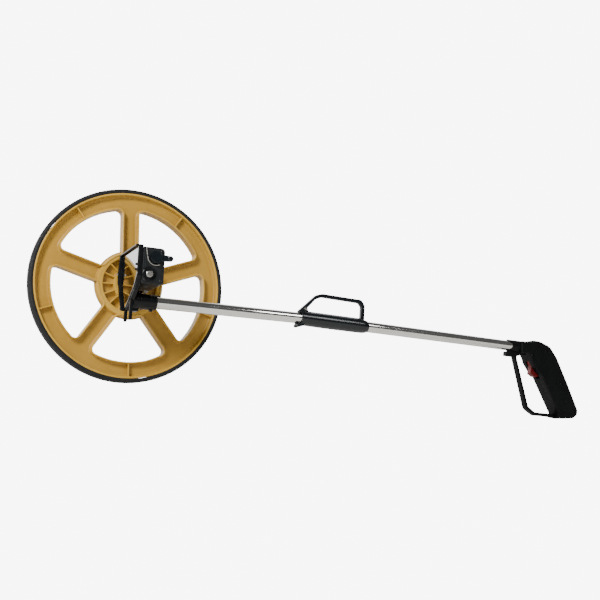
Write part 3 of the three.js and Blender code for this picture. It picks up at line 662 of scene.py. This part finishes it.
def counter_cover():
    """The lid: a plate with a stepped edge."""
    plate = slab("plate", case_outline(0), (COVER_Y, -115), bevel=0.9)
    step = slab("step", case_outline(3.4), (COVER_Y - 0.5, -117), bevel=0.4)
    return merge("counter_lid", [plate, step])


def lid_bosses():
    """A black ring round the bolt, and a collar round the lever's shaft, both standing on the lid."""
    boss = [
        (0, -119.9), (8.0, -119.9), (8.7, -120.3), (10.2, -120.3), (10.8, -119.9), (11.1, -119.2),
        (11.5, -117.5),
    ]
    collar = [(2.9, -119.0), (5.2, -119.2), (5.9, -118.8), (6.3, -117.5)]
    return merge("lid_bosses", [
        turn("boss", boss, at=(0, 0), segments=64, closed=False),
        turn("collar", collar, at=DRUM_AXIS, segments=48, closed=False),
    ])


settle(counter_cover(), CHARCOAL, "head", ["counter_cover"])
settle(lid_bosses(), BLACK, "head", ())


def bolt():
    head_hex = slab("hex", arc(0, 0, 4.7, 0, 300, 5), (-125, -121), bevel=0.45, angle=20)
    dome = [(0, -125.0), (3.3, -124.9), (3.9, -124.4), (3.9, -123)]
    washer = [(0, -121.3), (4.6, -121.3), (5.0, -121.0), (5.0, -120.6), (0, -120.6)]
    shank = [(0, -121.0), (2.3, -121.0), (2.3, -100), (0, -100)]
    return merge("axle_end_bolt", [
        head_hex,
        turn("dome", dome, segments=32, closed=False),
        turn("washer", washer, segments=48, closed=False),
        turn("shank", shank, segments=24, closed=False),
    ])


settle(bolt(), ZINC, "head", ["axle_bolt"], smooth=25)


def lever():
    """Fluted disc on the drums' shaft, with an arm and a finger nub at its end."""
    x, z = DRUM_AXIS
    disc_r, flute_count, flute_depth, steps = 9.4, 24, 0.25, 144
    flutes = []
    for i in range(steps):
        a = 2 * math.pi * i / steps
        r = disc_r - flute_depth * (1 + math.cos(a * flute_count)) / 2
        flutes.append((x + r * math.cos(a), z + r * math.sin(a)))
    disc = slab("disc", flutes, (-126.6, -120.2))
    cap = turn("cap", [(0, -127), (7.6, -127), (8.6, -126.8), (9.0, -126.3), (9.0, -125.4)], at=(x, z),
               segments=64, closed=False)
    arm = slab("arm", rounded([(x, z - 6), (x + 21, z - 4.4, 2.5), (x + 21, z + 4.4, 2.5), (x, z + 6)]),
               (-125.5, -121.5), bevel=1.1)
    nub = turn("nub", [(0, -127.5), (2.9, -127.5), (3.9, -127.1), (4.4, -126.2), (4.4, -122.2), (3.9, -121.2),
                       (0, -121)], at=(x + 21.5, z), segments=48, closed=False)
    return merge("reset_arm", [disc, cap, arm, nub])


settle(lever(), SLEEVE, "reset", ["reset_lever"], smooth=40)
spring_line = [(-6.8, 41), (-6, 35), (-4.6, 28.5), (-2.6, 21.5), (1.5, 16.6), (8, 14.6), (15, 16)]
settle(rod("spring_wire", [(x, -119.4, z) for x, z in spring_line], 0.8), ZINC, "head", ["reset_spring"],
       smooth=60)


def screw(name, radius, head_span, at, shank=None, axis="Y", droop=False, body="head"):
    """A pan head with a cross recess, and a plain shank."""
    y0, y1 = head_span                 # y0 is the outer face
    d = 1 if y1 > y0 else -1
    t = abs(y1 - y0)
    top = turn(name, [(0, y0), (radius * 0.72, y0 + d * 0.05 * t), (radius * 0.93, y0 + d * 0.3 * t),
                      (radius, y0 + d * 0.6 * t), (radius, y1), (0, y1)], axis, at, 40, closed=False)
    arms = []
    for swap in (False, True):
        w, h = (radius * 0.55, radius * 0.14) if not swap else (radius * 0.14, radius * 0.55)
        outline = [(at[0] + a * w, at[1] + b * h) for a, b in ((-1, -1), (1, -1), (1, 1), (-1, 1))]
        arms.append(slab("recess", outline, (y0 - d * 1.0, y0 + d * 0.5 * t), axis))
    boolean(top, arms)
    parts = [top]
    if shank:
        r, far = shank
        parts.append(turn("shank", [(0, y1), (r, y1), (r, far), (0, far)], axis, at, 24, closed=False))
    piece = merge(name + "_detail", parts)
    return settle(piece, DARK_STEEL, body, [name], droop, smooth=30)


for number, at in enumerate(((-6.5, -9.5), (18, -9), (18, 36.5)), 1):
    screw(f"cover_screw_{number}", 2.2, (-120.2, -118.75), at)


# ---- digits on the drums ----------------------------------------------------------------------
def digit_band(k):
    """Numbers 0 to 9 round drum k, as thin raised ink that follows the drum's curve."""
    middle = DRUM_FIRST_Y - DRUM_PITCH * k - DRUM_W / 2
    bm = bmesh.new()
    for value in range(10):
        text = bpy.data.curves.new("digit", "FONT")
        text.body = str(value)
        text.size = 7.2 * MM
        text.align_x = "CENTER"
        text.align_y = "CENTER"
        text.extrude = 0.12 * MM
        source = bpy.data.objects.new("digit", text)
        bpy.context.scene.collection.objects.link(source)
        graph = bpy.context.evaluated_depsgraph_get()
        mesh = bpy.data.meshes.new_from_object(source.evaluated_get(graph))
        bpy.data.objects.remove(source)
        for v in mesh.vertices:
            across, up, out = v.co
            angle = math.radians(36 * value) + up / (DRUM_R * MM)
            r = DRUM_R * MM + 0.10 * MM + out
            x = DRUM_AXIS[0] * MM + r * math.cos(angle)
            z = DRUM_AXIS[1] * MM + r * math.sin(angle)
            v.co = (x, middle * MM + across, z)
        bm.from_mesh(mesh)
    mesh = bpy.data.meshes.new(f"digits_{k + 1}")
    bm.to_mesh(mesh)
    bm.free()
    obj = bpy.data.objects.new(f"digits_{k + 1}", mesh)
    bpy.context.scene.collection.objects.link(obj)
    return settle(obj, INK, f"drum_{k + 1}", smooth=30)


for k in range(DRUMS):
    digit_band(k)


# ---- tube socket and lower tube ---------------------------------------------------------------
def socket():
    tube = turn("barrel", [
        (9.8, -6.3), (9.8, 27.6), (10.3, 28), (11.0, 28), (11.7, 27.5), (12.1, 26.4), (12.1, 3), (12.9, 1.0),
        (15.0, -4.6), (15.2, -6.4), (15.2, -10.7), (0, -10.7), (0, -6.3),
    ], "X", (TUBE_Y, TUBE_Z), 80, closed=False)
    key = block("key", (-10.7, -1), (TUBE_Y - 7, TUBE_Y + 7), (TUBE_Z - 17, TUBE_Z - 8), bevel=1.0)
    ribs = []
    for y in (TUBE_Y - 6, TUBE_Y + 6):
        ribs.append(block("rib", (-10.7, 1.5), (y - 1, y + 1), (TUBE_Z + 8, TUBE_Z + 13.6), bevel=0.5))
    return merge("socket_moulding", [tube, key, *ribs])


settle(socket(), BLACK, "head", ["tube_socket"])
screw("socket_screw", 3.0, (TUBE_Z - 14.8, TUBE_Z - 12.6), (20, TUBE_Y), (1.5, TUBE_Z - 9.9), "Z")


def pipe(name, x0, x1, chamfer=0.4):
    return turn(name, [
        (TUBE_BORE, x0 + chamfer), (TUBE_BORE + chamfer, x0), (TUBE_R - chamfer, x0), (TUBE_R, x0 + chamfer),
        (TUBE_R, x1 - chamfer), (TUBE_R - chamfer, x1), (TUBE_BORE + chamfer, x1), (TUBE_BORE, x1 - chamfer),
    ], "X", (TUBE_Y, TUBE_Z), 96)


def lower_tube():
    tube = pipe("lower_pipe", -6, PIN[0] + 20)
    px = PIN[0]
    end = slab("end", [
        (px + 3, TUBE_Z + 9.5), (px + 3, TUBE_Z + 20), (px + 60, TUBE_Z + 20), (px + 60, TUBE_Z - 20),
        (px + 10, TUBE_Z - 20), (px + 9.6, TUBE_Z - 9.5),
    ], (TUBE_Y - 15, TUBE_Y + 15))
    slot = block("slot", (px - 3.8, px + 30), (TUBE_Y - 3.8, TUBE_Y + 3.8), (TUBE_Z - 12, TUBE_Z), bevel=0)
    cable = block("cable", (5.5, 14.5), (TUBE_Y - 1.8, TUBE_Y + 1.8), (TUBE_Z, TUBE_Z + 12), bevel=0)
    return boolean(tube, [end, slot, cable])


settle(lower_tube(), CHROME, "head", ["lower_tube"], smooth=30)
settle(pipe("upper_pipe", 290, 775), CHROME, "handle", ["upper_tube"], True, smooth=30)


# ---- carry sleeve -----------------------------------------------------------------------------
def sleeve():
    x0, x1, r = 273, 413, 12.3
    outer = [
        (9.8, x0), (r, x0), (r, x0 + 20), (r + 0.3, x0 + 45), (r + 0.4, x0 + 70), (r + 0.3, x0 + 100),
        (r, x1 - 12), (r - 0.4, x1 - 7), (r - 1.2, x1 - 3.4), (r - 2.1, x1 - 0.9), (r - 2.3, x1 - 0.2),
        (9.8, x1),
    ]
    barrel = turn("barrel", outer, "X", (TUBE_Y, TUBE_Z), 96)
    mouth = turn("mouth", [(0, TUBE_Y - 20), (17.2, TUBE_Y - 20), (17.2, TUBE_Y + 20), (0, TUBE_Y + 20)],
                 "Y", (x0 - 8.4, TUBE_Z), 96, closed=False)
    under = block("under", (x0 - 5, PIN[0] + 4.4), (TUBE_Y - 9.6, TUBE_Y + 9.6), (PIN[1] - 10, TUBE_Z - 3),
                  bevel=0)
    boolean(barrel, [mouth, under])
    edge_round(barrel, 0.35, 2, 50)
    loop_outer = [
        (x0 + 2, TUBE_Z + 11, 0.8), (308.5, 9, 12), (320, 12.6, 16), (398.5, 12, 10), (406, 3, 8),
        (406, TUBE_Z + 9), (300, TUBE_Z + 8),
    ]
    loop_inner = [
        (292.2, -16, 2.5), (307, 0.9, 8), (319.8, 6.4, 10), (393.4, 5.6, 6), (399.0, 0.2, 6),
        (398.6, -21.2, 1.5), (295, -21.4, 2),
    ]
    loop = slab("loop", rounded(loop_outer, 10), (TUBE_Y - 3.4, TUBE_Y + 3.4))
    hole = slab("hole", rounded(loop_inner, 10), (TUBE_Y - 9, TUBE_Y + 9))
    button = turn("button", [(0, TUBE_Y - 9), (2.9, TUBE_Y - 9), (2.9, TUBE_Y + 9), (0, TUBE_Y + 9)],
                  "Y", (287.4, -18.6), 40, closed=False)
    bore = turn("bore", [(0, x0 - 5), (9.8, x0 - 5), (9.8, x1 + 5), (0, x1 + 5)], "X", (TUBE_Y, TUBE_Z), 64,
                closed=False)
    boolean(loop, [hole, bore])
    edge_round(loop, 1.7, 4, 40)
    boolean(loop, [button])
    ears = []
    for y0, y1 in ((TUBE_Y - 8, TUBE_Y - 3.8), (TUBE_Y + 3.8, TUBE_Y + 8)):
        outline = arc(*PIN, 3.2, 100, 280, 18) + [(PIN[0] + 12, PIN[1] + 1), (PIN[0] + 12, PIN[1] + 3.2)]
        ears.append(slab("ear", outline, (y0, y1), bevel=0.5))
    return merge("carry_handle", [barrel, loop, *ears])


settle(sleeve(), SLEEVE, "handle", ["carry_sleeve"], True, smooth=38)


# ---- pistol grip ------------------------------------------------------------------------------
BODY = [
    (756, -24), (783, -24), (784, -20), (801, -20, 14), (828, -28, 24), (846, -49, 30), (875, -100, 60),
    (900.5, -148, 10), (899, -158, 8), (888, -165, 10), (866, -167), (850, -166), (850.9, -157.2),
    (808, -88.6), (796, -80, 7), (783, -64, 9), (779, -54), (774, -47), (756, -47),
]
GUARD = [
    (724.6, -55.4, 1.5), (745, -55.4, 1), (775.2, -153.6, 14), (797, -165, 10), (828, -165), (866, -167),
    (866, -150), (850.9, -157.2, 2), (848, -159.4, 2), (798, -158.6, 10), (781.6, -148.6, 8), (751, -54.6, 2),
    (758.3, -51.5, 3), (778, -48, 2), (778, -42), (735, -42), (733, -46.4, 2), (725.6, -46.4, 1.5),
]
WORKS = [
    (791, -23.2), (804, -23.2), (812, -50), (819, -80), (819, -90.5), (806, -93), (784, -95), (778, -70),
    (783, -57), (787.5, -50), (790, -43),
]


def grip_shell(side):
    """One half of the moulding, with the parting line rounded where it meets the other half."""
    def half(y):
        return TUBE_Y + side * y

    def span(a, b):
        return tuple(sorted((half(a), half(b))))

    split = 0.12
    body = slab("body", rounded(BODY, 8), span(-GRIP_HALF, GRIP_HALF), bevel=5.0, segments=6, angle=60)
    guard = slab("guard", rounded(GUARD, 6), span(-5, 5), bevel=1.3, segments=4, angle=60)
    barrel = turn("socket", [(9.8, 731.5), (11.9, 731.5), (11.9, 790), (9.8, 790)], "X", (TUBE_Y, TUBE_Z), 80)
    mouth = slab("mouth", arc(726.5, TUBE_Z, 12.8, -90, 90, 30), (TUBE_Y - 30, TUBE_Y + 30))
    boolean(barrel, [mouth])
    seat = turn("seat", [(0, 720), (9.8, 720), (9.8, 775.3), (0, 775.3)], "X", (TUBE_Y, TUBE_Z), 64,
                closed=False)
    works = slab("works", WORKS, span(-6, 5.1))
    near = TUBE_Y - GRIP_HALF
    sink = [(0, near - 5), (3.1, near - 5), (3.1, near + 2.8), (0, near + 2.8)]
    sinks = [turn("sink", sink, "Y", at, 32, closed=False) for at in GRIP_SCREWS]
    boolean(body, [works, *sinks])
    shells = []
    for part in (body, guard, barrel):
        keep = block("keep", (700, 920), span(split, 30), (-190, 0), bevel=0)
        boolean(part, [keep], "INTERSECT")
        shells.append(part)
    boolean(shells[0], [duplicate(seat)])
    boolean(shells[1], [seat])
    for part in shells:
        edge_round(part, 0.3, 2, 60)
    return merge("grip_half_near" if side < 0 else "grip_half_far", shells)


def duplicate(obj):
    twin = bpy.data.objects.new(obj.name + "_twin", obj.data.copy())
    bpy.context.scene.collection.objects.link(twin)
    return twin


settle(grip_shell(-1), GRIP, "handle", ["grip_near"], True, smooth=38)
settle(grip_shell(1), GRIP, "handle", ["grip_far"], True, smooth=38)
for number, at in enumerate(GRIP_SCREWS, 1):
    near = TUBE_Y - GRIP_HALF
    screw(f"grip_screw_{number}", 2.7, (near + 0.9, near + 2.5), at, (1.5, TUBE_Y + GRIP_HALF - 4),
          droop=True, body="handle")


def trigger():
    outline = rounded([
        (794.6, -23.9, 2), (801.4, -23.9, 2), (803, -45, 2), (806, -86, 2), (805, -89.5, 2), (796, -90, 3),
        (785.5, -84.5, 2), (789.6, -69, 8), (784, -60, 2), (786, -54, 2), (794, -44, 2),
    ], 8)
    body = slab("blade", outline, (TUBE_Y - 4.6, TUBE_Y + 4.6), bevel=1.4, segments=5, angle=50)
    ribs = [block("rib", (787.2, 790.0), (TUBE_Y - 3.6, TUBE_Y + 3.6), (z - 0.5, z + 0.5), bevel=0.35)
            for z in (-66, -69, -72, -75)]
    hole = turn("hole", [(0, -80), (2.3, -80), (2.3, -50), (0, -50)], "Y", (798, -27.5), 32, closed=False)
    boolean(body, [hole])
    return merge("brake_trigger", [body, *ribs])


settle(trigger(), RED, "trigger", ["trigger"], True, smooth=40)

# ---- finishes of the CAD nodes that stay ------------------------------------------------------
slots = {row["node"]: row["material_slot"] for row in frame["record"]["subparts"]}
for node, obj in frame["nodes"].items():
    obj.data.materials.clear()
    obj.data.materials.append(FINISHES[slots[node]])


# ---- stage, light and camera ------------------------------------------------------------------
def floor():
    """A pale floor under the lowest piece, drawn from above only, because the camera looks up past it."""
    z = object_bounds()[0][2] / MM - 1
    size = 6000
    corners = [(-size, -size, z), (size, -size, z), (size, size, z), (-size, size, z)]
    obj = make("floor", corners, [(0, 1, 2, 3)])
    m = Nodes("floor_paint", roughness=0.7)
    m.colour(m.ramp(m.noise(3, 4), [(0.3, (0.80, 0.785, 0.75)), (0.7, (0.84, 0.83, 0.80))]))
    output = m.tree.nodes["Material Output"]
    side = m.add("ShaderNodeNewGeometry").outputs["Backfacing"]
    clear = m.add("ShaderNodeBsdfTransparent")
    choose = m.add("ShaderNodeMixShader")
    m.link(side, choose.inputs[0])
    m.link(m.shader.outputs[0], choose.inputs[1])
    m.link(clear.outputs[0], choose.inputs[2])
    m.link(choose.outputs[0], output.inputs["Surface"])
    obj.data.materials.append(m.material)
    obj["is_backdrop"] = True


def surround():
    """A white backdrop for the camera. As light, it is bright behind the object and dim in front of it."""
    world = bpy.data.worlds.new("studio")
    world.use_nodes = True
    bpy.context.scene.world = world
    tree = world.node_tree
    sky = tree.nodes["Background"]
    sky.inputs["Color"].default_value = (1, 1, 1, 1)
    split = tree.nodes.new("ShaderNodeSeparateXYZ")
    tree.links.new(tree.nodes.new("ShaderNodeTexCoord").outputs["Generated"], split.inputs[0])
    back = tree.nodes.new("ShaderNodeMapRange")
    for name, value in (("From Min", 0.2), ("From Max", 0.75), ("To Min", 0.10), ("To Max", 2.4)):
        back.inputs[name].default_value = value
    tree.links.new(split.outputs["Y"], back.inputs["Value"])
    choose = tree.nodes.new("ShaderNodeMix")
    backdrop = 8.0
    choose.inputs["B"].default_value = backdrop
    tree.links.new(tree.nodes.new("ShaderNodeLightPath").outputs["Is Camera Ray"], choose.inputs["Factor"])
    tree.links.new(back.outputs[0], choose.inputs["A"])
    tree.links.new(choose.outputs[0], sky.inputs["Strength"])


def softbox(name, place, target, size, power):
    light = bpy.data.lights.new(name, "AREA")
    light.shape = "RECTANGLE"
    light.size, light.size_y = size
    light.energy = power
    obj = bpy.data.objects.new(name, light)
    obj.location = place
    obj.rotation_euler = (Vector(target) - Vector(place)).to_track_quat("-Z", "Y").to_euler()
    bpy.context.scene.collection.objects.link(obj)


def camera():
    data = bpy.data.cameras.new("camera")
    data.lens = 49.2
    data.sensor_width = 36
    data.clip_start, data.clip_end = 0.02, 50
    obj = bpy.data.objects.new("camera", data)
    eye = Vector((-0.3316, -1.3087, -0.2307))
    right, up = Vector((0.8940, -0.4467, 0.0355)), Vector((-0.1039, -0.1294, 0.9861))
    ahead = Vector((0.4360, 0.8852, 0.1621))
    obj.matrix_world = Matrix((
        (right.x, up.x, -ahead.x, eye.x),
        (right.y, up.y, -ahead.y, eye.y),
        (right.z, up.z, -ahead.z, eye.z),
        (0, 0, 0, 1),
    ))
    bpy.context.scene.collection.objects.link(obj)
    bpy.context.scene.camera = obj


floor()
surround()
softbox("key", (-1.3, -1.2, 1.0), (0.1, 0, 0), (0.5, 0.5), 62)
softbox("strip", (1.04, -1.15, 0.85), (1.04, -0.05, 0), (0.5, 0.4), 6)
camera()
